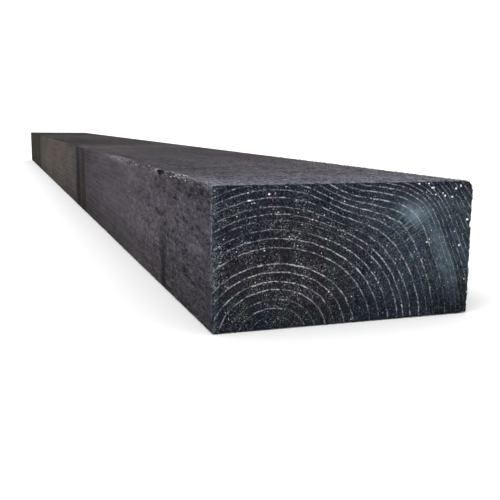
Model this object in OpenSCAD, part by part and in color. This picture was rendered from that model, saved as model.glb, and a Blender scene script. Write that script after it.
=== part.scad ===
// Railway sleeper: one baulk of softwood, sawn on four sides, cross-cut at
// both ends and stained black. It lies on its wide face.
// +X runs along the grain, +Y across the wide face and +Z up, so the front
// side is the one that faces -Y. The origin is at the middle of the bottom.

/* [Baulk] */
// Length along the grain
sleeper_length = 2400; // [900:50:3000]
// Width of the wide face
sleeper_width = 200; // [120:5:260]
// Thickness, from bottom face to top face
sleeper_height = 100; // [75:5:160]

/* [Arrises] */
// Radius of the three arrises left as the saw cut them
sawn_arris_radius = 1.5; // [0.5:0.25:4]
// Radius of the worn arris between the top face and the back side
worn_arris_radius = 8; // [4:0.5:20]

/* [Tears] */
// Distance from the +X end to the middle of the short tear
short_tear_from_end = 112; // [80:1:150]
// Length of the short tear along the arris of top face and front side
short_tear_length = 96; // [40:1:120]
// Depth of the short tear, measured into the arris
short_tear_depth = 3; // [1.75:0.25:5]
// Distance from the +X end to the middle of the long tear
long_tear_from_end = 300; // [260:1:400]
// Length of the long tear along the same arris
long_tear_length = 176; // [80:1:200]
// Depth of the long tear, measured into the arris
long_tear_depth = 2.5; // [1.75:0.25:5]

/* [Hidden] */
$fn = 96;
// How far a cutting shape runs past the face that it cuts
overcut = 1;
// Half sizes: the +X end is at end_x, and the sides are at -side_y and side_y
end_x = sleeper_length / 2;
side_y = sleeper_width / 2;
stained_timber = [0.27, 0.26, 0.28];

// The sliver outside a round of radius r, for a corner in the +x +y quadrant
// whose sharp point is at the origin.
module corner_sliver(r) {
    translate([-r, -r])
        difference() {
            square(r + overcut);
            circle(r = r);
        }
}

// The cross-section: x across the wide face, y up from the bottom face.
module baulk_section() {
    difference() {
        translate([-side_y, 0])
            square([sleeper_width, sleeper_height]);
        translate([side_y, sleeper_height])
            corner_sliver(worn_arris_radius);
        translate([-side_y, sleeper_height])
            mirror([1, 0])
                corner_sliver(sawn_arris_radius);
        for (side = [0, 1])
            mirror([side, 0])
                translate([side_y, 0])
                    mirror([0, 1])
                        corner_sliver(sawn_arris_radius);
    }
}

// The scoop that a torn strip of grain leaves in the arris between the top
// face and the front side: a drum laid across the arris, with its lowest
// line sunk to the depth of the tear.
module arris_tear(from_end, length, depth) {
    drum_radius = (pow(length / 2, 2) + pow(depth, 2)) / (2 * depth);
    drum_width = 8 * (depth + overcut);
    translate([end_x - from_end, -side_y, sleeper_height])
        rotate([45, 0, 0])
            translate([0, -drum_width / 2, drum_radius - depth])
                rotate([-90, 0, 0])
                    cylinder(h = drum_width, r = drum_radius, $fn = 180);
}

module sleeper() {
    color(stained_timber)
        difference() {
            translate([-end_x, 0, 0])
                rotate([90, 0, 90])
                    linear_extrude(height = sleeper_length)
                        baulk_section();
            arris_tear(short_tear_from_end, short_tear_length, short_tear_depth);
            arris_tear(long_tear_from_end, long_tear_length, long_tear_depth);
        }
}

sleeper();
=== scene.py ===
# %% [markdown]
# # A railway sleeper
#
# The object is one baulk of softwood, sawn on four sides, cross-cut at both ends and stained
# black. The frame brings its plain solid, which is right for size and weight but has no wood in
# it. This file makes the wood: the growth rings on the cut ends, the furry sawn faces, the torn
# arris, the stain and its marks. All of it is worked out from one description of the tree.

import math

import bpy
import numpy as np
from mathutils import Euler, Matrix, Vector


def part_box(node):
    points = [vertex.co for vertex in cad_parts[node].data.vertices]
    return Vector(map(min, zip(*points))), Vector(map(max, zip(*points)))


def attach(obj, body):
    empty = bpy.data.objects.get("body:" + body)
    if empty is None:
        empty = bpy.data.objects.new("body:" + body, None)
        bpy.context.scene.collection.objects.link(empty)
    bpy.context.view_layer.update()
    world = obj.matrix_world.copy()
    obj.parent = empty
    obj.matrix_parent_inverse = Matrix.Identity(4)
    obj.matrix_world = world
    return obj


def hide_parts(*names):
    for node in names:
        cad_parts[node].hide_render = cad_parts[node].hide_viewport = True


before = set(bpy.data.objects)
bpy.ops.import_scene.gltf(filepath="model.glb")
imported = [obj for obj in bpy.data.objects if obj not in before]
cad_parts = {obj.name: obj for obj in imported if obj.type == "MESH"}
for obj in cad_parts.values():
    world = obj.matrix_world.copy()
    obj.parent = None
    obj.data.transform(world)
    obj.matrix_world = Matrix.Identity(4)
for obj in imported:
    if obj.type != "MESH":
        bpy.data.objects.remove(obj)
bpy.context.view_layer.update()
NODE = "sleeper"
MM = 0.001
low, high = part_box(NODE)
length, width, height = ((high[i] - low[i]) / MM for i in range(3))
print("sleeper", [round(v, 1) for v in (length, width, height)], "mm")

# %% [markdown]
# ## The camera
#
# A camera could be aimed with a tracking constraint, but a plain place and three angles say more
# exactly where the viewer stands: low, half a metre in front of the cut end, a little outside
# the front side. The other views of the sleeper move this camera, so it has no constraint. Its
# lens and its small shift stay with it.

# %% Place the camera
BEFORE_END = 462.5  # mm from the cut end, out along the grain
OUTSIDE_FRONT = 131  # mm outside the front side
ABOVE_TOP = 38.9  # mm above the top face
LOOK_DOWN, LOOK_ACROSS, LEAN = 9.61, 19.8, 0.61  # degrees
LENS, FILM_WIDTH = 53.63, 36  # mm
SHIFT = -0.025  # of the picture's width
NEAREST = 0.01  # m, the nearest thing that it sees

camera = bpy.data.objects.new("camera", bpy.data.cameras.new("camera"))
bpy.context.collection.objects.link(camera)
camera.data.lens = LENS
camera.data.sensor_width = FILM_WIDTH
camera.data.shift_x = SHIFT
camera.data.clip_start = NEAREST
place = Vector((high[0] + BEFORE_END * MM, low[1] - OUTSIDE_FRONT * MM, high[2] + ABOVE_TOP * MM))
aim = Euler((math.radians(90 - LOOK_DOWN), 0, math.radians(90 - LOOK_ACROSS)))
lean = Matrix.Rotation(math.radians(LEAN), 4, "Z")
camera.matrix_world = Matrix.Translation(place) @ aim.to_matrix().to_4x4() @ lean
bpy.context.scene.camera = camera
print("camera at", [round(v, 3) for v in place])

# %% [markdown]
# ## Formulas that become nodes
#
# Wood is a formula: how far a point lies from the pith says which year it grew in. The same
# formula has to shape the surface, in Geometry Nodes, and colour it, in a material. Both kinds
# of tree take the same Math and Noise nodes, so one small class wraps a socket, and plain Python
# arithmetic on it adds the nodes. `node` adds any other node: its kind, its settings, then its
# sockets.

# %% A socket that can be calculated with
class Wire:
    """One output of a node. Arithmetic on it adds Math nodes to the same tree."""

    def __init__(self, tree, socket):
        self.tree = tree
        self.socket = socket

    def node(self, kind, settings=None, sockets=None, out=0):
        """Adds a node: its settings come first, then values or links for its sockets."""
        made = self.tree.nodes.new(kind)
        for name, value in (settings or {}).items():
            if name == "points":
                set_curve(made, value)
            elif name == "stops":
                set_ramp(made, value)
            else:
                setattr(made, name, value)
        for name, value in (sockets or {}).items():
            if isinstance(value, Wire):
                self.tree.links.new(value.socket, made.inputs[name])
            else:
                made.inputs[name].default_value = value
        return Wire(self.tree, made.outputs[out]) if made.outputs else made

    def maths(self, operation, *others):
        """A Math node on this number and the others."""
        values = dict(enumerate((self, *others)))
        return self.node("ShaderNodeMath", {"operation": operation}, values)

    def vectors(self, operation, sockets):
        """A Vector Math node, for places and colours."""
        return self.node("ShaderNodeVectorMath", {"operation": operation}, sockets)

    def __add__(self, other):
        return self.maths("ADD", other)

    def __sub__(self, other):
        return self.maths("SUBTRACT", other)

    def __mul__(self, other):
        return self.maths("MULTIPLY", other)

    def __truediv__(self, other):
        return self.maths("DIVIDE", other)

    def __pow__(self, other):
        return self.maths("POWER", other)

    def __neg__(self):
        return self * -1

    def __abs__(self):
        return self.maths("ABSOLUTE")

    def __rsub__(self, other):
        return -self + other

    def __rtruediv__(self, other):
        return self ** -1 * other

    __radd__ = __add__
    __rmul__ = __mul__

    def least(self, other):
        return self.maths("MINIMUM", other)

    def most(self, other):
        return self.maths("MAXIMUM", other)

    def step(self, start, end):
        """0 before start, 1 past end, and smooth between them. It falls if end is first."""
        sockets = {"Value": self, "From Min": min(start, end), "From Max": max(start, end)}
        rise = self.node("ShaderNodeMapRange", {"interpolation_type": "SMOOTHSTEP"}, sockets)
        return rise if start < end else 1 - rise

    def between(self, dark, light):
        """A colour between two, at this share of the second."""
        return self.node("ShaderNodeMix", {"data_type": "RGBA"}, {0: self, 6: dark, 7: light}, 2)


# %% Curves, ramps and colours
def set_curve(node, points):
    """Gives a Float Curve node its points, joined by straight lines."""
    curve = node.mapping.curves[0]
    curve.points[0].location = points[0]
    curve.points[1].location = points[-1]
    for place in points[1:-1]:
        curve.points.new(*place)
    for point in curve.points:
        point.handle_type = "VECTOR"
    node.mapping.update()


def set_ramp(node, stops):
    """Gives a Color Ramp node its stops, each a place and then red, green and blue."""
    elements = node.color_ramp.elements
    for element, (place, *tone) in zip(elements, (stops[0], stops[-1])):
        element.position = place
        element.color = paint(*tone)
    for place, *tone in stops[1:-1]:
        elements.new(place).color = paint(*tone)


def paint(red, green, blue):
    """A colour given in the usual 0 to 255, as the shader wants it."""
    parts = [c / 255 for c in (red, green, blue)]
    linear = [c / 12.92 if c < 0.04045 else ((c + 0.055) / 1.055) ** 2.4 for c in parts]
    return (*linear, 1)


print("arithmetic on sockets ready")

# %% Points, distances and noise
ARRIS_BLEND = 0.6  # mm over which a long face turns into an end face


class Point:
    """A place in the timber, in mm, with what every formula asks of it."""

    def __init__(self, vector):
        self.vector = vector.vectors("SCALE", {0: vector, "Scale": 1 / MM})
        split = "ShaderNodeSeparateXYZ", None, {0: self.vector}
        self.x, self.y, self.z = (self.vector.node(*split, axis) for axis in range(3))
        self.from_end = length / 2 - self.x  # along the grain, from the near end
        self.to_end = length / 2 - abs(self.x)
        self.to_side = width / 2 - abs(self.y)
        self.to_face = height / 2 - abs(self.z - height / 2)
        self.end_face = (self.to_side.least(self.to_face) - self.to_end).step(0, ARRIS_BLEND)

    def to_arris(self):
        """Distance from the nearest arris: the middle one of the three distances."""
        near, far = self.to_end.least(self.to_side), self.to_end.most(self.to_side)
        return near.most(far.least(self.to_face))

    def noise(self, size, detail=2, roughness=0.5, shift=0):
        """Noise from 0 to 1, whose lumps are about size mm, given as (along, across, up).

        A shift moves it, so that two noises of one size don't fall together."""
        fitted = {0: self.vector, 1: [1 / s for s in size], 2: [shift] * 3}
        moved = self.vector.vectors("MULTIPLY_ADD", fitted)
        sockets = {"Vector": moved, "Scale": 1, "Detail": detail, "Roughness": roughness}
        return self.vector.node("ShaderNodeTexNoise", None, sockets)

    def bulge(self, middle, size):
        """1 at the middle, falling off smoothly over size mm each way."""
        total = 0
        for here, centre, reach in zip((self.from_end, self.y, self.z), middle, size):
            total = total + ((here - centre) / reach) ** 2
        return (total * -0.5).maths("EXPONENT")


print("a point knows its place in", round(length), "x", round(width), "x", round(height), "mm")

# %% [markdown]
# ## The tree
#
# A baulk this size takes most of a young trunk, so the pith lies just under its bottom face and
# the rings cross the cut end as wide arches. They are a little wider than high, because the
# trunk was. A branch beside the top face pushed them: they dip before it and turn sharply round
# it. The list of rings is this tree's own story, good years and poor ones, so it is written out.
# Between them the growth is taken as even.

# %% How far from the pith, and in which year
PITH_Y, PITH_Z = -56, -5  # mm, where the pith meets the cut end
WIDE_SIDE = 1.2  # how much the rings are stretched towards the back side
FLAT_HEART, ROUNDING = 0.7, 0.0033  # the front halves start flat, and round off with each mm
YEAR_ENDS = (
    8, 14, 20, 26, 33, 38.5, 45, 50.5, 62, 68, 74, 80.5, 84.5, 89.5, 95.7, 101, 105.5, 110,
    114, 118.5, 122, 125, 128, 131.5, 135, 138, 142, 145, 149, 153, 158, 163, 168, 174, 180,
    186, 193, 200,
)
LAST_RING = YEAR_ENDS[-1]
WIDEST_RING = 12  # mm
LEANS = (34, 46)  # mm that the pith moves off from end to end, across and up
WANDERS = (70, 40)  # mm that it strays besides, in slow curves
DIP = ((0, -2, 96), (130, 18, 18)), 7  # mm: middle and reach each way, then how far the rings give
BRANCH = ((0, 58, 84), (110, 20, 20)), 8
WAVER = 1.6  # mm that a ring is off its smooth course


def from_pith(at):
    """Distance from the pith in mm, as the rings count it."""
    away = at.from_end / length
    wander = at.noise((420, 90, 90), 1) - 0.5
    across = at.y - PITH_Y + away * LEANS[0] + wander * away.least(0.25) * WANDERS[0]
    up = at.z - PITH_Z + away * away * LEANS[1] + wander * away.least(0.3) * WANDERS[1]
    plain = (across ** 2 + up ** 2) ** 0.5
    wide = across.most(0) / WIDE_SIDE
    tight = across.least(0) * (plain * ROUNDING + FLAT_HEART).least(1)
    round_pith = ((wide + tight) ** 2 + up ** 2) ** 0.5
    dip = at.bulge(*DIP[0]) * DIP[1]
    branch = at.bulge(*BRANCH[0]) * BRANCH[1]
    waver = (at.noise((60, 9, 9), 2) - 0.5) * WAVER
    return round_pith + dip - branch + waver


def years(distance):
    """The number of years grown at this distance from the pith."""
    count = len(YEAR_ENDS)
    points = [(0, 0)] + [(r / LAST_RING, (i + 1) / count) for i, r in enumerate(YEAR_ENDS)]
    sockets = {"Value": distance / LAST_RING}
    return distance.node("ShaderNodeFloatCurve", {"points": points}, sockets) * count


def spacing(distance):
    """How far apart the years lie at this distance from the pith, in mm."""
    rings = list(zip((0,) + YEAR_ENDS, YEAR_ENDS))
    points = [(0, 1)] + [((a + b) / 2 / LAST_RING, (b - a) / WIDEST_RING) for a, b in rings]
    sockets = {"Value": distance / LAST_RING}
    made = distance.node("ShaderNodeFloatCurve", {"points": points + [(1, 1)]}, sockets)
    return made * WIDEST_RING


def ring_line(distance, core, edge):
    """1 on the thin hard line that ends each year, and 0 away from it. Both sizes in mm."""
    phase = (years(distance) + 0.5).maths("FRACT")
    return (abs(phase - 0.5) * spacing(distance)).step(edge, core)


print(len(YEAR_ENDS), "rings out to", LAST_RING, "mm")

# %% [markdown]
# ## The blank
#
# The timber is one closed skin. A cube with a Subdivision modifier would put as many faces in
# the plain middle as on the cut end, and most of the wood's detail is within arm's reach of that
# end. So the skin is made in mesh code: hoops of points round the section, a millimetre apart at
# the cut end, then two, then four. Where the number of points halves, each long edge takes a fan
# of three triangles, so nothing is left open.

# %% Points along a side and hoops round the section
SAWN_ARRIS, WORN_ARRIS, END_ARRIS = 1.5, 8, 0.8  # mm, as the frame has them, and at the ends


def side_places(size, cells):
    """Places along a side, with two short cells at each end for the arris."""
    inner = np.linspace(SAWN_ARRIS, size - SAWN_ARRIS, cells - 3)
    return np.concatenate(([0, SAWN_ARRIS / 2], inner, [size - SAWN_ARRIS / 2, size]))


def round_arrises(y, z):
    """Moves a point of the square section so that its corners follow their arrises."""
    up = z - height / 2
    radius = WORN_ARRIS if y > 0 and up > 0 else SAWN_ARRIS
    near_y = max(-width / 2 + radius, min(width / 2 - radius, y))
    near_z = max(-height / 2 + radius, min(height / 2 - radius, up))
    off_y, off_z = y - near_y, up - near_z
    far = math.hypot(off_y, off_z)
    pull = max(abs(off_y), abs(off_z)) / far if far else 0
    return near_y + off_y * pull, near_z + off_z * pull + height / 2


def hoop(ys, zs):
    """The points round the section, from the bottom front corner and back to it."""
    bottom = [(y, zs[0]) for y in ys[:-1]]
    back = [(ys[-1], z) for z in zs[:-1]]
    top = [(y, zs[-1]) for y in ys[:0:-1]]
    front = [(ys[0], z) for z in zs[:0:-1]]
    return bottom + back + top + front


CELLS_WIDE, CELLS_HIGH = 200, 100  # about a millimetre each
fine_y = side_places(width, CELLS_WIDE) - width / 2
fine_z = side_places(height, CELLS_HIGH)
LEVELS = [(fine_y[::s], fine_z[::s]) for s in (1, 2, 4)]  # fine, middle and coarse
print("hoops of", [2 * (len(y) + len(z) - 2) for y, z in LEVELS], "points")

# %% Places along the grain
FINE_REACH = 1.6  # mm from the cut end that has the finest hoops
DETAIL_REACH = 430  # mm from the cut end that has the middle hoops
PLAIN_STEP = 18  # mm between hoops on the plain length
SHORT_STEP, LONG_STEP, GROWTH = 1.6, 4.2, 1.022  # mm, mm, and from each step to the next
FAR_STEP = 4  # mm, the last hoop before the far end's arris


def grain_places():
    """Distances from the cut end, each with the level of its hoop. One lies at mid-length."""
    places = [(0, 0), (END_ARRIS / 2, 0), (END_ARRIS, 0), (FINE_REACH, 0)]
    at, step = FINE_REACH, SHORT_STEP
    while at + step < DETAIL_REACH:
        at += step
        places.append((at, 1))
        step = min(step * GROWTH, LONG_STEP)
    middle = length / 2
    first = round((middle - at) / PLAIN_STEP)
    places += [(v, 2) for v in np.linspace(at, middle, first + 1)[1:]]
    last = round(middle / PLAIN_STEP)
    places += [(v, 2) for v in np.linspace(middle, length - PLAIN_STEP / 2, last)[1:]]
    places += [(length - back, 1) for back in (FAR_STEP, END_ARRIS, END_ARRIS / 2, 0)]
    return places


along = grain_places()
print(len(along), "hoops along the grain")

# %% Round the arrises of the ends
def hoop_inset(back):
    """How far a hoop draws in, and back along the grain, to round the arris of its end."""
    off = max(END_ARRIS - min(back, length - back), 0)
    share = 1 - END_ARRIS / math.hypot(off, END_ARRIS)
    return END_ARRIS * share, off * share


def drawn_in(y, z, inset):
    """A point of the section, drawn in towards the middle."""
    y, z = round_arrises(y, z)
    return y * (1 - 2 * inset / width), (z - height / 2) * (1 - 2 * inset / height) + height / 2


print("first hoop drawn in by", round(hoop_inset(0)[0], 2), "mm")

# %% Join two hoops, or close the last one
def bridge(first, second, faces):
    """Joins two hoops, facing outwards. Where one has half the points, it makes fans of three."""
    n, m = len(first), len(second)
    if n == m:
        ahead = [i - n + 1 for i in range(n)]
        faces += [(first[i], second[i], second[j], first[j]) for i, j in enumerate(ahead)]
        return
    fine, coarse, turned = (first, second, False) if n > m else (second, first, True)
    for i in range(len(coarse)):
        a, b = coarse[i], coarse[(i + 1) % len(coarse)]
        p, q, r = fine[2 * i], fine[2 * i + 1], fine[(2 * i + 2) % len(fine)]
        fan = [(p, a, q), (q, a, b), (q, b, r)]
        faces += [tuple(reversed(f)) for f in fan] if turned else fan


def close_end(points, faces, rim, level, x, turned):
    """Fills an end with a grid whose border is the last hoop."""
    ys, zs = level
    places = dict(zip(hoop(ys, zs), rim))
    inset = hoop_inset(0)[0]
    for y in ys[1:-1]:
        for z in zs[1:-1]:
            places[(y, z)] = len(points)
            points.append((x, *drawn_in(y, z, inset)))
    for y, y2 in zip(ys, ys[1:]):
        for z, z2 in zip(zs, zs[1:]):
            face = (places[(y, z)], places[(y2, z)], places[(y2, z2)], places[(y, z2)])
            faces.append(tuple(reversed(face)) if turned else face)


print("an end grid has", (len(fine_y) - 1) * (len(fine_z) - 1), "faces")

# %% Build the skin
def build_skin():
    """The closed skin of the timber, in metres."""
    points, faces, hoops = [], [], []
    for back, level in along:
        inset, pull = hoop_inset(back)
        x = length / 2 - back + math.copysign(pull, back - length / 2)
        start = len(points)
        round_section = hoop(*LEVELS[level])
        points += [(x, *drawn_in(y, z, inset)) for y, z in round_section]
        hoops.append(list(range(start, len(points))))
    for first, second in zip(hoops, hoops[1:]):
        bridge(first, second, faces)
    close_end(points, faces, hoops[0], LEVELS[0], length / 2, False)
    close_end(points, faces, hoops[-1], LEVELS[1], -length / 2, True)
    return points, faces


skin_points, skin_faces = build_skin()
timber = bpy.data.objects.new("stained_baulk", bpy.data.meshes.new("stained_baulk"))
timber.data.from_pydata((np.array(skin_points) * MM).tolist(), [], skin_faces)
bpy.context.collection.objects.link(timber)
print("skin of", len(skin_points), "points,", sum(len(f) - 2 for f in skin_faces), "triangles")

# %% [markdown]
# ## The relief
#
# Sawing leaves the hard line of each year a little proud on the cut end, and raises a fur of
# torn fibres on the long faces. It could all be faked in the material, but then the silhouette
# and the printed mesh would be a smooth box. The rule is the same at every point, so Geometry
# Nodes apply it: each point of the skin moves into the wood along its own normal, by a depth in
# millimetres that is never less than nothing. The timber stays inside its real size.

# %% Depths that the saw and the years leave
TUFT = (8, 2.2, 2.2)  # mm along, across and up, the size of a tuft of torn fibre
GRIT, SAW_STROKE = (1.4, 1.4, 1.4), (8, 70, 70)
HARD_LINE = (0.3, 1.6)  # mm from a year's end: all hard wood, and none of it


def end_depth(at, distance, ring_hollow, grit):
    """How deep the cut end lies, in mm: hollow between the hard lines, with grit all over."""
    hollow = 1 - ring_line(distance, *HARD_LINE)
    rough = at.noise(GRIT, 2)
    return hollow * ring_hollow + rough * grit


def saw_marks(at):
    """The marks of the saw's teeth, from 0 to 1, as lines across the grain."""
    return at.noise(SAW_STROKE, 2, 0.6, 12)


def face_depth(at, fur, saw_mark):
    """How deep a long face lies, in mm: a fur of fibres, over saw marks across the grain."""
    tuft = at.noise(TUFT, 2, 0.6)
    return tuft * fur + saw_marks(at) * saw_mark


print("tufts of", TUFT, "mm")

# %% Tears in the front top arris
TEARS = ((112, 48, 3.0), (300, 88, 2.5))  # mm: middle from the near end, half length, depth
FRESH_TEAR = (230, 170)  # mm from the near end: old grey fibre, and all fresh
DIAGONAL = 0.5 ** 0.5


def tear_reach(at):
    """How far the torn arris is set back along its diagonal, in mm, with a ragged edge."""
    ragged = at.noise((11, 3, 3), 3, 0.6, 7)
    total = 0
    for middle, half, depth in TEARS:
        arch = (1 - ((at.from_end - middle) / half) ** 2).most(0)
        total = arch ** 0.5 * depth + total
    return total * (ragged * 1.5 + 0.1)


def past_tear(at):
    """How far outside the torn arris a point lies, in mm. Inside the wood it is less than 0."""
    below_corner = (at.y + width / 2 + height - at.z) * DIAGONAL
    return tear_reach(at) - below_corner


def fresh(at):
    """1 along the tear nearer the end, whose fibre is still pale, and 0 on the old one."""
    return at.from_end.step(*FRESH_TEAR)


print(len(TEARS), "tears, at", [t[0] for t in TEARS], "mm")

# %% Small hurts
# Each has its middle (from the near end, then y and z), its reach each way and its depth, in mm.
HOLE = ((163, -99.5, 98), (8, 2.1, 1.4), 3.0)
NICK = ((108, -100, 81), (6, 3, 1.0), 1.1)
CHIP = ((2, 100, 67), (3, 2.4, 1.6), 1.2)
ARRIS_REACH = (2.2, 0.3)  # mm from an arris: where the bites start, and where they are full


def hurts(at):
    """Depth of the small holes and knocks, in mm."""
    total = 0
    for middle, reach, depth in (HOLE, NICK, CHIP):
        total = at.bulge(middle, reach) * depth + total
    return total


def ragged_arris(at):
    """Depth of the small bites that the saw takes out of every arris, in mm."""
    bites = at.noise((9, 4, 4), 3, 0.65, 11).step(0.4, 0.72)
    return at.to_arris().step(*ARRIS_REACH) * (bites * 0.5 + 0.05)


print("hurts of up to", max(HOLE[2], NICK[2], CHIP[2]), "mm")

# %% Trees that take sizes
def new_tree(name, sizes):
    """A Geometry Nodes tree with named inputs, then its inputs, its mesh and a point of it."""
    tree = bpy.data.node_groups.new(name, "GeometryNodeTree")
    tree.interface.new_socket("Geometry", in_out="INPUT", socket_type="NodeSocketGeometry")
    tree.interface.new_socket("Geometry", in_out="OUTPUT", socket_type="NodeSocketGeometry")
    for size in sizes:
        tree.interface.new_socket(size, in_out="INPUT", socket_type="NodeSocketFloat")
    group = tree.nodes.new("NodeGroupInput")
    given = {s.name: Wire(tree, s) for s in group.outputs if s.name}
    start = given["Geometry"]
    return tree, given, start, Point(start.node("GeometryNodeInputPosition"))


def finish_tree(wire, material):
    """Ends a tree: instances made real, a material set, then the output."""
    real = wire.node("GeometryNodeRealizeInstances", None, {0: wire})
    worn = real.node("GeometryNodeSetMaterial", None, {"Geometry": real, "Material": material})
    worn.node("NodeGroupOutput", None, {0: worn})


def apply_tree(holder, tree, sizes):
    """Runs a tree on an object, with its sizes, and keeps the result as a plain mesh."""
    modifier = holder.modifiers.new(tree.name, "NODES")
    modifier.node_group = tree
    for item in tree.interface.items_tree:
        if item.in_out == "INPUT" and item.name in sizes:
            modifier[item.identifier] = float(sizes[item.name])
    seen = bpy.context.evaluated_depsgraph_get()
    made = bpy.data.meshes.new_from_object(holder.evaluated_get(seen))
    holder.modifiers.clear()
    holder.data = made
    made.name = holder.name


print("sizes go to trees by name")

# %% The relief as a tree
def relief_tree(material):
    """Moves each point of the skin into the wood."""
    sizes = ("Ring hollow", "Grit", "Fur", "Saw mark")
    tree, given, start, at = new_tree("sawn_relief", sizes)
    on_end = end_depth(at, from_pith(at), given["Ring hollow"], given["Grit"])
    on_face = face_depth(at, given["Fur"], given["Saw mark"])
    depth = on_face + (on_end - on_face) * at.end_face + hurts(at) + ragged_arris(at)
    normal = start.node("GeometryNodeInputNormal")
    sunk = normal.vectors("SCALE", {0: normal, "Scale": depth * -MM})
    torn = past_tear(at).most(0) * MM
    diagonal = [0, DIAGONAL, -DIAGONAL]
    back = torn.vectors("SCALE", {0: diagonal, "Scale": torn})
    move = sunk.vectors("ADD", {0: sunk, 1: back})
    moved = start.node("GeometryNodeSetPosition", None, {"Geometry": start, "Offset": move})
    finish_tree(moved, material)
    return tree


# %% [markdown]
# ## The stain
#
# The stain is a thin bluish black. The end grain drinks it and goes nearly black, and only the
# hard line of each year and the mineral specks stay pale. The long faces take less, so they are
# a purplish grey, browner towards the far end, with darker bands across them. A colour ramp alone
# would look printed. Here each colour is pushed about by the same fur, rings and hurts that shape
# the surface. Some of it is painted light and shade: the top paler near the cut end, highlights
# on the arrises at the ends, and shade under the torn lip, in the tears and holes and at the foot.

# %% Colours
def scaled(colour, amount):
    """A colour made lighter or darker."""
    return colour.vectors("SCALE", {0: colour, "Scale": amount})


END_INK, END_BROWN, END_TEAL = paint(14, 20, 31), paint(27, 25, 30), paint(38, 48, 57)
END_GREEN, END_PURPLE = paint(24, 33, 32), paint(30, 26, 38)
RING_PALE, SPECK_PALE, BLUE_GREY = paint(162, 165, 170), paint(226, 228, 230), paint(98, 114, 125)
FACE_STOPS = (
    (0.0, 64, 61, 69), (0.035, 71, 67, 74), (0.08, 72, 67, 74), (0.12, 73, 69, 75),
    (0.2, 69, 64, 70), (0.28, 59, 54, 58), (0.35, 66, 59, 59), (0.38, 72, 64, 63),
    (0.6, 72, 65, 61), (0.752, 68, 62, 57), (0.77, 42, 37, 32), (0.88, 45, 40, 34),
    (1.0, 37, 32, 27),
)  # along the sides, as shares of the way from the near end to the far one
# The top's own tones: lighter near the cut end, partly its own tone and partly painted light.
TOP_STOPS = (
    (0.0, 86, 86, 93), (0.04, 79, 77, 84), (0.1, 74, 71, 77), (0.16, 65, 61, 66),
    (0.23, 60, 57, 60), (0.29, 61, 57, 60), (0.33, 71, 66, 68), (0.38, 61, 56, 57),
    (0.48, 53, 49, 49), (0.65, 60, 56, 55), (0.8, 49, 46, 46), (1.0, 31, 29, 27),
)  # along the top
WARM_GREY = paint(75, 68, 70)
# The second of these colours is dry fibre with a painted highlight; the last is painted shade for
# tears and holes.
RAW_FIBRE, END_DRY_AND_HIGHLIGHT, TEAR_SHADE = paint(168, 165, 169), paint(140, 145, 153), paint(12, 11, 14)
print(len(FACE_STOPS), "tones along the sides and", len(TOP_STOPS), "along the top")

# %% Where the year lines show
BRIGHTEST = (
    (-17, 46, 17, 9), (53, 10, 5, 7), (39, 8, 5, 5), (-62, 36, 22, 14), (24, 86, 32, 10),
    (6, 38, 24, 13),
)  # mm: y, z and reach each way
THIN_LINE = (0.1, 0.66)  # mm from a year's end: full colour, and none
PRESSED = (0, 50, 69), (60, 9, 10)  # mm: where the branch pressed the rings, and reach each way
SWOLLEN = (0, 50, 76), (60, 8, 5)
PALE_FROM, PALE_TO = (113, 118), (126.5, 124.5)  # mm from the pith
RAYS, RAY_LENGTH = 110, 14  # in each radian, and mm


def line_strength(at, distance):
    """How pale a year's line is: each year has its own share, and breaks up into dashes."""
    count = (years(distance) + 0.5).maths("FLOOR")
    luck = count.node("ShaderNodeTexWhiteNoise", {"noise_dimensions": "1D"}, {"W": count})
    broken = at.noise((60, 8, 8), 2, 0.6, 5).step(0.36, 0.6)
    dashes = at.noise((60, 2, 2), 2, 0.6, 8).step(0.36, 0.62)
    bright = 0
    for y, z, wide, high_up in BRIGHTEST:
        bright = at.bulge((0, y, z), (70, wide, high_up)) + bright
    plain = 0.14 + luck * 0.42 + bright * 0.58
    plain = plain * (1 - at.y.step(50, 85) * at.z.step(42, 15) * 0.6)
    beads = at.noise((1.5, 1.5, 1.5), 2, 0.7, 21).step(0.34, 0.62) * 1.3 - 0.5
    plain = plain * (1 + beads * at.y.step(40, -60)) * (1 - at.z.step(26, 6) * 0.22)
    return plain * (0.16 + broken * 0.84) * (0.14 + dashes * 1.2) * distance.step(8, 24)


def rays(at, distance):
    """Fine pale rays that run out from the pith, clearest where the branch pressed."""
    turn = (at.z - PITH_Z).maths("ARCTAN2", at.y - PITH_Y)
    course = {0: turn * RAYS, 1: distance / RAY_LENGTH}
    place = turn.node("ShaderNodeCombineXYZ", None, course)
    streak = place.node("ShaderNodeTexNoise", None, {"Vector": place, "Scale": 1, "Detail": 1})
    return streak.step(0.5, 0.6) * (0.03 + at.bulge(*PRESSED) * 0.6)


def pale_ring(at, distance):
    """The pale ring that swells where the branch pressed it, and fades downwards."""
    inside = distance.step(*PALE_FROM) * distance.step(*PALE_TO)
    swell = at.bulge(*SWOLLEN) * distance.step(106, 113) * distance.step(126.5, 124)
    trail = at.y.step(52, 66) * at.z.step(0, 50) * at.z.step(76, 58)
    uneven = 0.45 + at.noise((30, 5, 5), 3).step(0.3, 0.7) * 0.65
    return (swell * 1.15).most(inside * trail * 0.42) * uneven


print(len(BRIGHTEST), "places where the year lines are brightest")

# %% The stain on the cut end
HEARTWOOD = (0, -40, 40), (90, 44, 30)  # mm: browner round the heart, middle and reach each way
BLEACHED = (0, 24, 86), (60, 34, 12)
PORE = (1.1, 1.1, 1.1)


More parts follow.
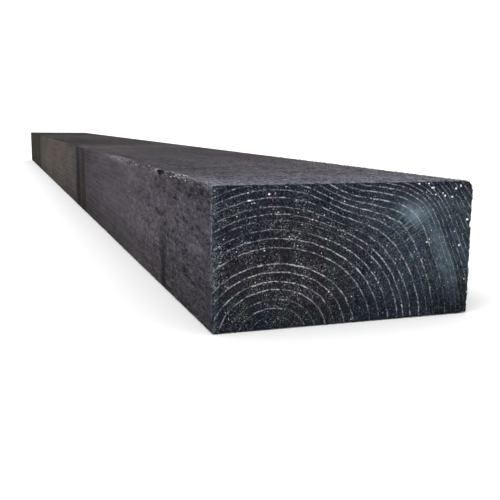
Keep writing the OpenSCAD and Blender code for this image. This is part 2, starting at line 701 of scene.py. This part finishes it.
def stain_ground(at):
    """The stain between the lines: inky above, browner at the heart, paler towards the back."""
    broad = at.noise((40, 26, 26), 2)
    heart = (broad + at.bulge(*HEARTWOOD) * 0.45).step(0.5, 0.85)
    back = (broad * 0.5 + at.y * 0.006).step(0.1, 0.75) * at.z.step(98, 82) * at.z.step(-30, 50)
    ground = back.between(heart.between(END_INK, END_BROWN), END_TEAL)
    mossy = at.noise((30, 18, 14), 2, 0.5, 16)
    tinted = (mossy.step(0.5, 0.7) * 0.6).between(ground, END_GREEN)
    tinted = (mossy.step(0.48, 0.3) * 0.6).between(tinted, END_PURPLE)
    pores = at.noise(PORE, 3, 0.75, 3) - 0.5
    clots = at.noise((6, 5, 5), 3, 0.6, 4) - 0.5
    low_corner = at.y.step(40, 90) * at.z.step(50, 10) * 0.6 + at.z.step(26, 6) * 0.14
    above = at.bulge(*BLEACHED) * 0.3
    return scaled(tinted, (1.06 + pores * 5.2 + clots * 1.9 + above - low_corner).most(0.2))


print("heartwood", HEARTWOOD, "mm")

# %% Dust and grains on the cut end
LIME_GRAINS = (
    (-74, 89, 1.1, 0.45), (-60, 93, 0.6, 0.6), (66, 95, 0.8, 0.5), (85, 94, 0.7, 0.6),
    (76, 89, 0.6, 0.7), (82, 88, 0.7, 0.5), (96, 71, 0.9, 0.7), (90, 52, 0.5, 0.7),
    (62, 98, 0.6, 0.4), (54, 98, 0.6, 0.5), (74, 91, 0.4, 0.6), (68, 90, 0.5, 0.4),
    (89, 96, 0.5, 0.8),
)  # mm: y, z and reach each way of the few large pale grains
GRAIN_SPACING = 1.5  # mm between the places that may hold a small grain


def dust_colour(at, under):
    """Fine pale dust in the pores, and single brighter grains, both in drifts."""
    thin = at.y.step(-40, 80) * 0.55 + at.z.step(84, 97) * 0.3 + at.z.step(28, 8) * 0.5
    drift = at.noise((20, 15, 15), 2, 0.5, 9).step(0.34, 0.62) * (1 - thin)
    dust = at.noise((0.95, 0.95, 0.95), 2, 0.7, 6).step(0.5, 0.76)
    clumps = at.noise((5, 4, 4), 3, 0.7, 10).step(0.38, 0.64)
    dusty = (dust * (0.17 + drift * 0.48) * (0.4 + clumps * 1.1)).between(under, RING_PALE)
    cells = {"Vector": at.vector, "Scale": 1 / GRAIN_SPACING, "Randomness": 1}
    gap = at.vector.node("ShaderNodeTexVoronoi", None, cells, "Distance")
    tint = at.vector.node("ShaderNodeTexVoronoi", None, cells, "Color")
    chance = tint.node("ShaderNodeSeparateColor", None, {0: tint}, 0)
    strength = tint.node("ShaderNodeSeparateColor", None, {0: tint}, 1)
    shown = (gap - strength * 0.16).step(0.3, 0.1) * (chance + drift * 0.08 - 0.93).step(0, 0.08)
    grains = shown * (0.04 + strength ** 5 * 0.9)
    for y, z, wide, high_up in LIME_GRAINS:
        grains = grains.most(at.bulge((0, y, z), (30, wide, high_up)).step(0.3, 0.75))
    return grains.between(dusty, SPECK_PALE)


def end_colour(at, distance):
    """Ink-dark ground, pale ring, rays, year lines that break up, then dust and grains."""
    ground = pale_ring(at, distance).between(stain_ground(at), BLUE_GREY)
    ground = rays(at, distance).between(ground, BLUE_GREY)
    line = ring_line(distance, *THIN_LINE) * line_strength(at, distance)
    lined = line.between(ground, RING_PALE)
    rubbed = at.y.step(-94, -99) * at.noise((6, 6, 3), 3, 0.7, 17).step(0.38, 0.66) * 0.4
    return dust_colour(at, rubbed.between(lined, BLUE_GREY))


print(len(LIME_GRAINS), "large grains")

# %% [markdown]
# ## The long faces
#
# Sawn softwood is furry, so the stain lies on it in flecks, with streaks and saw marks under
# them. It is darker in bands, in a smudge and towards the foot, and dry fibre shows pale on its
# arrises. Shade is painted under the torn lip, in the tears and holes and along the foot, and a
# highlight on the arrises at the ends. One noise could speckle the whole face, but the real marks
# differ in size and reason. Each is a small formula here, and they are multiplied together on the
# stain's slow colour, whose top is paler near the cut end, partly as painted light.

# %% Bands, grime and painted shade
BANDS = ((742, 28, 0.6), (810, 26, 0.8))  # mm: middle from the near end, half width; how dark
SMUDGE = (150, -100, 8), (10, 8, 26)  # mm: middle and reach each way
# Painted shade on the front side just under the torn lip of the arris.
LIP_SHADE = (45, -100, 93), (60, 3, 6)
ROUGH_CUT = (170, 162)  # mm from the near end, where the saw ran rougher and the stain is darker


def bands(at):
    """Darker bands across the sides of the baulk, a little fainter towards the top."""
    drift = at.from_end + (at.noise((40, 30, 30), 2) - 0.5) * 30
    total = 0
    for middle, half, dark in BANDS:
        total = (abs(drift - middle).step(half + 16, half - 10) * dark).most(total)
    return total * (0.7 + at.z.step(98, 70) * 0.3)


def grime_and_shade(at):
    """How much darker the foot, a smudge and the last stretch before the end are, with painted
    shade under the torn lip and at the very foot.
    """
    smudge = at.bulge(*SMUDGE) * 0.75
    spotty = at.noise((9, 3, 3), 2, 0.6, 18).step(0.4, 0.6)
    # painted shade, in spots, just under the torn lip
    lip_shade = at.bulge(*LIP_SHADE) * spotty * 0.5
    rough_cut = at.from_end.step(*ROUGH_CUT) * at.y.step(-97, -99) * 0.13
    fading = 1 - at.from_end.step(900, 1500) * 0.5
    # darker towards the bottom, and a painted contact shade along the last few millimetres above
    # the floor
    foot = (at.z.step(48, 2) * 0.4 + at.z.step(3.5, 0.5) * 0.2) * fading
    return smudge.most(foot).most(lip_shade) + rough_cut


print(len(BANDS), "bands, at", [band[0] for band in BANDS], "mm")

# %% Flecks, and what runs along the grain
FACE_RING = (0.2, 2.5)  # mm from a year's end: full tone, and none


def flecks(at, top, near):
    """Light and dark flecks where the saw raised the fibre or tore it out."""
    tuft = at.noise(TUFT, 3, 0.7) - 0.5
    fleck = at.noise((14, 3.4, 3.4), 3, 0.75, 13)
    fine = at.noise((3.5, 1, 1), 2, 0.7, 20) - 0.5
    small = tuft * 1.7 + fine * (1.5 + top * 2)
    both = small + fleck.step(0.54, 0.7) * 0.85 - fleck.step(0.46, 0.32) * 0.6
    return both * (0.26 + near * 1.1) * (1 - top * at.from_end.step(20, 120) * 0.35)


def grain(at, distance, top, near):
    """What runs along the wood or across it: streaks, soft blots, rings and saw marks."""
    streaks = (at.noise((110, 3, 3), 3, 0.6) - 0.5) * (0.6 + top * 0.3)
    patches = (at.noise((120, 30, 30), 3) - 0.5) * 0.9
    blots = (at.noise((50, 9, 9), 3, 0.65, 2).step(0.34, 0.66) - 0.5) * (0.2 + near * 0.2)
    marks = (saw_marks(at) - 0.5) * (top * 0.6 + 0.2) * (0.9 + near * 1.6)
    rings = ring_line(distance, *FACE_RING) * (0.14 - near * 0.09)
    return streaks + patches + blots + marks - rings


print("flecks and grain ready")

# %% The stain's colour along the baulk, with painted light on the top
PALE_TOP = (720, -72, height), (130, 40, 30)  # mm: middle and reach each way
DULL_TOP = (1020, -70, height), (280, 50, 30)
DULL_NEAR = (150, -85, height), (150, 40, 30)


def face_tone(at, top):
    """The stain's colour along the baulk, darker far away; paler on top near the end, partly its
    own tone and partly painted light.
    """
    away = at.from_end / length
    along = away + (at.noise((260, 60, 60), 2) - 0.5) * away.step(0.1, 0.5) * 0.05
    side = along.node("ShaderNodeValToRGB", {"stops": FACE_STOPS}, {0: along})
    # the top's own tones, lighter near the cut end partly as painted light
    upper = along.node("ShaderNodeValToRGB", {"stops": TOP_STOPS}, {0: along})
    patchy = at.noise((90, 26, 26), 2, 0.5, 14).step(0.5, 0.68)
    warm = patchy * at.from_end.step(700, 500) * at.from_end.step(90, 170) * 0.5
    pale = at.bulge(*PALE_TOP) * 0.4
    dull = at.bulge(*DULL_TOP) * 0.46 + at.bulge(*DULL_NEAR) * 0.25
    weather = (1 - bands(at) * (1 - top)) * (1 - grime_and_shade(at)) * (1 + (pale - dull) * top)
    return scaled(warm.between(top.between(side, upper), WARM_GREY), weather)


def top_face(at):
    """1 on the top face, and 0 on the others."""
    return (at.z - height + at.to_side).step(-0.4, 0.4) * at.z.step(60, 80)


print("the paler and duller patches lie at", PALE_TOP[0][0], DULL_TOP[0][0], DULL_NEAR[0][0], "mm")

# %% Dry arrises, painted highlights and torn fibre
# painted highlight on dry fibre at the near end's top front corner
CORNER_HIGHLIGHT = (4, -97, 100), (9, 5, 3)  # mm: middle and reach each way
TORN_LIP = (30, -98, 100), (50, 7, 2)
SCAR = (385, -98, 99.5), (60, 4, 2.5)
CLEAN_SPOT = (178, -99, 99), (4, 1.6, 1.6)


def dry_fibre_and_highlights(at, under):
    """Dry pale fibre along the top arrises, and on the last millimetres before each end and at the
    near corner dry fibre with a painted highlight.
    """
    frayed = at.noise((8, 3, 3), 3, 0.7, 9).step(0.4, 0.62)
    front = at.y.step(0, -90) * at.from_end.step(620, 300)
    arris = at.to_arris().step(2.4, 0.2) * frayed * at.z.step(40, 90) * (0.06 + front * 0.4)
    reach = 6 + at.z.step(96, 99.5) * 10
    # dry fibre and a painted highlight on the last millimetres before each end, widest by the top
    # arris
    end = (1 - at.to_end / reach).most(0) * frayed * 0.6 * at.z.step(-30, 70)
    # painted highlight at the near end's top front corner
    corner = at.bulge(*CORNER_HIGHLIGHT) * (0.25 + frayed * 0.6)
    streaky = at.noise((24, 1.4, 1.4), 3, 0.7, 19).step(0.46, 0.62)
    torn_lip = at.bulge(*TORN_LIP) * streaky * 0.75
    scar = at.bulge(*SCAR) * (0.15 + frayed * 0.4)
    pale = arris.most(scar).most(torn_lip).between(under, RAW_FIBRE)
    specks = at.noise((5, 2.5, 2.5), 3, 0.75, 15).step(0.5, 0.66)
    upper = at.z.step(99, 99.7) * at.from_end.step(100, 6) * specks * 1.1
    # the pale colour here stands for dry fibre and a painted highlight
    return (end.most(corner).most(upper) * 0.8).between(pale, END_DRY_AND_HIGHLIGHT)


def torn_colour(at, under):
    """Pale dotted fibre on the lip of the tears, painted shadow in the gap under it, and painted
    shade in the holes.
    """
    torn = past_tear(at).step(-0.7, 0.5)
    lip = at.z.step(height - 3.4, height - 1.6)
    raw = 0.4 + fresh(at) * 0.6
    fibre = at.noise((7, 1.6, 1.6), 3, 0.6, 4)
    fibrous = torn * lip * (fibre.step(0.42, 0.62) * 0.85 + 0.1) * raw
    pale = fibrous.most(at.bulge(*CLEAN_SPOT)).between(under, RAW_FIBRE)
    # painted shadow in the gap under the pale lip of each tear
    gap_shadow = torn * raw * (1 - lip * fibre.step(0.44, 0.52)) * 0.8
    # painted shade in the hole, the nick and the chip, darker the deeper they are
    dark = gap_shadow.most(hurts(at).step(0.3, 0.9))
    return dark.between(pale, TEAR_SHADE)


def face_colour(at, distance):
    """The stain with its flecks and grain, dry arrises and torn fibre."""
    top = top_face(at)
    near = at.from_end.step(420, 50)
    shade = 1 + flecks(at, top, near) + grain(at, distance, top, near)
    coloured = scaled(face_tone(at, top), shade.most(0.14))
    return torn_colour(at, dry_fibre_and_highlights(at, coloured))


print("torn lip", TORN_LIP, "mm")

# %% The stained timber material
FUR_BUMP, RING_BUMP, PORE_BUMP = 0.8, 0.35, 0.4  # mm
BUMP_LINE = (0.2, 0.9)  # mm from a year's end: full height, and none
DRY_SHEEN = 0.03  # stained wood that has soaked its stain up hardly shines


def new_finish(name):
    """A material with the usual shader, and the point being shaded, in the piece's own space."""
    material = bpy.data.materials.new(name)
    material.use_nodes = True
    tree = material.node_tree
    return material, Point(Wire(tree, tree.nodes.new("ShaderNodeTexCoord").outputs["Object"]))


def finished(material, sockets):
    """Joins formulas to the shader's sockets, or sets them to plain values."""
    shader = material.node_tree.nodes["Principled BSDF"]
    for name, value in sockets.items():
        if isinstance(value, Wire):
            material.node_tree.links.new(value.socket, shader.inputs[name])
        else:
            shader.inputs[name].default_value = value
    return material


def stained_timber():
    """One finish for the whole baulk: end grain and sawn faces meet at the arris."""
    material, at = new_finish("stained_timber")
    distance = from_pith(at)
    colour = at.end_face.between(face_colour(at, distance), end_colour(at, distance))
    soft = 0.25 + at.from_end.step(1100, 200) * 0.75
    fur = at.noise(TUFT, 4, 0.7) * soft * -FUR_BUMP
    ring = ring_line(distance, *BUMP_LINE) * RING_BUMP + at.noise(PORE, 3, 0.7, 3) * PORE_BUMP
    height_map = fur + (ring - fur) * at.end_face
    bump = height_map.node("ShaderNodeBump", None, {"Height": height_map, "Distance": MM})
    rough = 0.78 + at.noise((30, 6, 6), 2) * 0.2
    return finished(material, {
        "Base Color": colour, "Normal": bump, "Roughness": rough, "Specular IOR Level": DRY_SHEEN})


timber_finish = stained_timber()
print("stained_timber has", len(timber_finish.node_tree.nodes), "nodes")

# %% Carve the skin
SIZES = {"Ring hollow": 0.3, "Grit": 0.25, "Fur": 0.4, "Saw mark": 0.2}  # mm
relief = relief_tree(timber_finish)
apply_tree(timber, relief, SIZES)
timber.data.shade_smooth()
print("carved skin", [round(v / MM, 2) for v in timber.dimensions], "mm")

# %% [markdown]
# ## The skin laid out flat
#
# The finish needs no flat layout here, but a copy of the timber that leaves Blender carries its
# finish as a picture, and the picture needs one. An automatic layout would give each square
# centimetre the same share, and the cut end, where all the detail is, would get a postage stamp.
# So the six sides are laid out one by one: the long ones in two halves each, in rows, and the
# near end in the large corner that is left.

# %% Six sides in one square
SIDES = {  # axis and sense that a side faces, then those that run right and up on its island
    "cut end": (0, 1, 1, 1, 2, 1), "far end": (0, -1, 1, -1, 2, 1), "top": (2, 1, 0, 1, 1, 1),
    "bottom": (2, -1, 0, 1, 1, -1), "front": (1, -1, 0, 1, 2, 1), "back": (1, 1, 0, -1, 2, 1),
}
ROWS = (("top", 0.115), ("front", 0.08), ("back", 0.06), ("bottom", 0.08))  # a half's height
GAP, CUT_END_SHARE = 0.004, 0.66


def islands():
    """The place of each side, or half side, in the square: left, bottom, right, top."""
    places, level = {}, 0
    for side, tall in ROWS:
        for half in (0, 1):
            places[side, half] = (GAP, level + GAP / 2, 1 - GAP, level + tall - GAP / 2)
            level += tall
    rest = 1 - GAP - level
    places["cut end", 1] = (GAP, level + GAP, CUT_END_SHARE, level + rest)
    places["far end", 0] = (CUT_END_SHARE + GAP, level + GAP, 1 - GAP, level + rest / 2)
    return places


def lay_out_flat(mesh, name):
    """Gives each face its place in the square, from the side that it lies nearest to."""
    spots = np.empty(len(mesh.vertices) * 3)
    mesh.vertices.foreach_get("co", spots)
    corners = np.empty(len(mesh.loops), int)
    mesh.loops.foreach_get("vertex_index", corners)
    middles, sizes = np.empty(len(mesh.polygons) * 3), np.empty(len(mesh.polygons), int)
    mesh.polygons.foreach_get("center", middles)
    mesh.polygons.foreach_get("loop_total", sizes)
    middles, places = middles.reshape(-1, 3), spots.reshape(-1, 3)[corners]
    sides = [(axis, high if sense > 0 else low) for axis, sense, *_ in SIDES.values()]
    off = [np.abs(middles[:, axis] - corner[axis]) for axis, corner in sides]
    side = np.repeat(np.argmin(off, axis=0), sizes)
    half = np.repeat((middles[:, 0] > 0).astype(int), sizes)
    flat = np.zeros((len(corners), 2))
    for (name_of, half_of), (left, bottom, right, top) in islands().items():
        _, _, u, u_sense, v, v_sense = SIDES[name_of]
        mine = (side == list(SIDES).index(name_of)) & (half == half_of)
        ways = (0, u, u_sense, left, right), (1, v, v_sense, bottom, top)
        for column, axis, sense, start, end in ways:
            from_low, to_high = low[axis], high[axis]
            if axis == 0:
                from_low, to_high = (0, high[0]) if half_of else (low[0], 0)
            share = (places[mine, axis] - from_low) / (to_high - from_low)
            share = share if sense > 0 else 1 - share
            flat[mine, column] = start + share * (end - start)
    layer = mesh.uv_layers.new(name=name)
    layer.uv.foreach_set("vector", flat.ravel())


lay_out_flat(timber.data, "OFBake")
print("laid out", {name: [round(v, 3) for v in place] for name, place in islands().items()})

# %% [markdown]
# ## Splinters, fur and grit
#
# Where the arris tore, slivers of raw fibre still lie in the tear. The saw left short stained
# fibres standing on the long faces, and grains of grit sit in the cut ends. They are far too many
# to place by hand, and a hair system wouldn't leave Blender as a mesh. So all three grow on the
# carved skin itself: points are scattered on the faces that a formula picks, and each gets a tiny
# shape. The last step keeps every point inside the real size of the timber.

# %% Scatter small shapes on the skin
HAIR = 0.03  # mm


def random_vector(wire, low_values, high_values, seed):
    """Three random numbers at each point, between these."""
    sockets = {0: low_values, 1: high_values, "Seed": seed}
    return wire.node("FunctionNodeRandomValue", {"data_type": "FLOAT_VECTOR"}, sockets)


def scatter(start, per_square_metre, seed):
    """Points on the faces, and how to turn a shape so that it stands on its face."""
    spots = start.node("GeometryNodeDistributePointsOnFaces", None, {
        "Mesh": start, "Density": per_square_metre, "Seed": seed})
    return spots, Wire(spots.tree, spots.socket.node.outputs["Rotation"])


def kept_inside(wire):
    """Holds every point inside the timber's real size, a hair's breadth under its faces."""
    place = wire.node("GeometryNodeInputPosition")
    hair = Vector((1, 1, 1)) * HAIR * MM
    risen = place.vectors("MAXIMUM", {0: place, 1: low + hair})
    held = risen.vectors("MINIMUM", {0: risen, 1: high - hair})
    return wire.node("GeometryNodeSetPosition", None, {"Geometry": wire, "Position": held})


def grow(spots, shape, turned, size, material):
    """Puts the shape on each point, keeps it all inside the timber, and ends the tree."""
    shapes = spots.node("GeometryNodeInstanceOnPoints", None, {
        "Points": spots, "Instance": shape, "Rotation": turned, "Scale": size})
    real = shapes.node("GeometryNodeRealizeInstances", None, {0: shapes})
    finish_tree(kept_inside(real), material)


def blade_size(start, given, thinnest, shortest, seed):
    """A size for each blade, between these shares of the full thickness and length, and all."""
    thick, long = given["Thickness"] * MM, given["Length"] * MM
    small = {0: thick * thinnest, 1: thick * thinnest, 2: long * shortest}
    least = start.node("ShaderNodeCombineXYZ", None, small)
    most = start.node("ShaderNodeCombineXYZ", None, {0: thick, 1: thick, 2: long})
    return random_vector(start, least, most, seed)


BLADE_SIZES = ("Thickness", "Length", "Per square metre")
print("everything that grows keeps", HAIR, "mm under the faces")

# %% Slivers of raw fibre in the tears
SPLINTER_TURNS = (-0.2, 1.45, -0.1), (0.2, 1.6, 0.1)  # radians, least and most


def splinter_tree(material):
    """Thin blades that lie along the torn arris, a little turned each way."""
    tree, given, start, at = new_tree("splinters", BLADE_SIZES)
    lip = past_tear(at).maths("GREATER_THAN", -0.5) * at.z.step(96.5, 98.5)
    density = lip * (0.12 + fresh(at) * 0.88) * given["Per square metre"]
    spots, _ = scatter(start, density, seed=4)
    blade = start.node("GeometryNodeMeshCone", None, {
        "Vertices": 5, "Side Segments": 3, "Radius Top": 0.15, "Radius Bottom": 1, "Depth": 1})
    lie = random_vector(start, *SPLINTER_TURNS, seed=5)
    grow(spots, blade, lie, blade_size(start, given, 0.35, 0.25, seed=6), material)
    return tree


# %% Fur, thickest near the cut end
FUR_TURNS = (0, 1.4, -0.2), (3, 1.56, 0.2)  # radians, least and most, off the face's own normal
FUR_REACH = (480, 200)  # mm from the near end: thin, and thick
THIN_FUR = 0.12


def fur_tree(material):
    """Short fibres that the saw left standing, combed along the grain, thickest on the arrises."""
    tree, given, start, at = new_tree("standing_fur", BLADE_SIZES)
    furry = at.from_end.step(*FUR_REACH).most(THIN_FUR) * at.z.step(0, 25) * (1 - at.end_face)
    lip = at.to_arris().step(5, 0.5)
    bare = (past_tear(at).step(-0.8, 0) * fresh(at)).most(hurts(at).step(0.2, 0.6))
    density = (0.35 + lip * 2) * furry * (1 - bare) * given["Per square metre"]
    spots, _ = scatter(start, density, seed=11)
    blade = start.node("GeometryNodeMeshCone", None, {
        "Vertices": 3, "Radius Top": 0, "Radius Bottom": 1, "Depth": 1})
    normal = start.node("GeometryNodeInputNormal")
    lying = normal.node("FunctionNodeAxesToRotation", None, {
        "Primary Axis": normal, "Secondary Axis": (1, 0, 0)})
    turn = random_vector(start, *FUR_TURNS, seed=12)
    lie = lying.node("FunctionNodeRotateRotation", {"rotation_space": "LOCAL"}, {
        "Rotation": lying, "Rotate By": turn})
    grow(spots, blade, lie, blade_size(start, given, 0.4, 0.3, seed=13), material)
    return tree


# %% Grains of grit on the cut ends
CROWDED = (0, 72, 92), (30, 13, 6)  # mm: where the grit is thickest, middle and reach each way


def grit_tree(material):
    """Flat grains on the end faces, most of them small, crowded at the back of the top arris."""
    tree, given, start, at = new_tree("grit", ("Grain", "Per square metre"))
    crowded = at.bulge(*CROWDED) + at.noise((20, 20, 20), 2).step(0.5, 0.75) * 0.14
    density = crowded * at.end_face * at.to_end.step(2, 1) * given["Per square metre"]
    chance = random_vector(start, (0, 0, 0), (1, 1, 1), seed=7)
    spots, stand = scatter(start, density, seed=8)
    grain = start.node("GeometryNodeMeshIcoSphere", None, {"Radius": 1, "Subdivisions": 1})
    part = [chance.node("ShaderNodeSeparateXYZ", None, {0: chance}, i) for i in range(2)]
    radius = (part[0] ** 4 * 0.8 + 0.2) * given["Grain"] * MM
    wide = radius * (part[1] ** 2 + 0.8)
    size = start.node("ShaderNodeCombineXYZ", None, {0: wide, 1: radius, 2: radius * 0.6})
    grow(spots, grain, stand, size, material)
    return tree


print("three trees grow on the skin")

# %% Their finishes
DULL = {"Roughness": 0.85, "Specular IOR Level": 0.1}


def small_finish(name, dark, light, size):
    """A pale, dull finish with uneven tone, for raw fibre or grit."""
    material, at = new_finish(name)
    colour = at.noise(size, 2, 0.6).step(0.35, 0.65).between(dark, light)
    return finished(material, {"Base Color": colour, **DULL})


def fur_finish():
    """Stained fibre: the face's colour, painted light and shade included, lighter or darker from
    tuft to tuft.
    """
    material, at = new_finish("stained_fibre")
    shade = at.noise((14, 5, 5), 2, 0.6).step(0.35, 0.65) * 2.1 + 0.3
    colour = scaled(face_tone(at, top_face(at)), shade)
    return finished(material, {"Base Color": colour, **DULL})


fibre_finish = small_finish("raw_fibre", paint(70, 67, 71), paint(222, 220, 223), (5, 2, 2))
grit_finish = small_finish("pale_grit", paint(140, 142, 148), paint(228, 229, 232), (6, 6, 6))
print("finishes", [finish.name for finish in (fibre_finish, grit_finish)])

# %% The pieces that grow
def grown_piece(name, tree, sizes):
    """A piece grown on a copy of the carved skin."""
    piece = bpy.data.objects.new(name, timber.data.copy())
    bpy.context.collection.objects.link(piece)
    apply_tree(piece, tree, sizes)
    while piece.data.uv_layers:
        piece.data.uv_layers.remove(piece.data.uv_layers[0])
    print(name, sum(len(p.vertices) - 2 for p in piece.data.polygons), "triangles")
    return piece


splinters = grown_piece("splinters", splinter_tree(fibre_finish), {
    "Thickness": 0.36, "Length": 12, "Per square metre": 170000})
fur = grown_piece("standing_fur", fur_tree(fur_finish()), {
    "Thickness": 0.42, "Length": 7, "Per square metre": 200000})
grit = grown_piece("grit", grit_tree(grit_finish), {"Grain": 0.85, "Per square metre": 16000})

# %% Hand the pieces to the frame
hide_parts(NODE)
for piece in (timber, splinters, fur, grit):
    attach(piece, "root")
print("four pieces ride on the root")

# %% [markdown]
# ## The studio
#
# A wide pale floor and a pale sky all round give soft light from everywhere, as a white studio
# does. Alone they would flatten the fur, so one large soft lamp stands high on the front side.

# %% Floor, sky and lamps
FLOOR_RADIUS, FLOOR_CORNERS = 40, 96  # m
UNDER_TIMBER = 0.0004  # m that the floor lies lower, so that the two faces don't fight
angles = np.linspace(0, 2 * math.pi, FLOOR_CORNERS, endpoint=False)
rim = [(math.cos(a) * FLOOR_RADIUS, math.sin(a) * FLOOR_RADIUS, 0) for a in angles]
floor_mesh = bpy.data.meshes.new("floor")
floor_mesh.from_pydata(rim, [], [tuple(range(FLOOR_CORNERS))])
floor = bpy.data.objects.new("floor", floor_mesh)
bpy.context.collection.objects.link(floor)
floor.location.z = low[2] - UNDER_TIMBER
MATT_PALE = {"Base Color": (0.95, 0.95, 0.95, 1), "Roughness": 1, "Specular IOR Level": 0}
pale_floor = bpy.data.materials.new("pale_floor")
pale_floor.use_nodes = True
floor_mesh.materials.append(finished(pale_floor, MATT_PALE))

SKY_STRENGTH = 1.15
world = bpy.data.worlds.new("sky")
bpy.context.scene.world = world
world.use_nodes = True
world.node_tree.nodes["Background"].inputs[0].default_value = (1, 1, 1, 1)
world.node_tree.nodes["Background"].inputs[1].default_value = SKY_STRENGTH
bpy.context.scene.view_settings.view_transform = "Standard"


def soft_lamp(name, towards, strength, spread):
    """A lamp far away in the direction given, as wide as a studio window seen from the bench."""
    lamp = bpy.data.objects.new(name, bpy.data.lights.new(name, "SUN"))
    bpy.context.collection.objects.link(lamp)
    lamp.data.angle = math.radians(spread)
    lamp.data.energy = strength
    lamp.rotation_euler = Vector(towards).to_track_quat("Z", "Y").to_euler()


soft_lamp("key", (0.35, -0.55, 0.9), 0.9, 30)
print("one soft lamp under a sky of strength", SKY_STRENGTH)
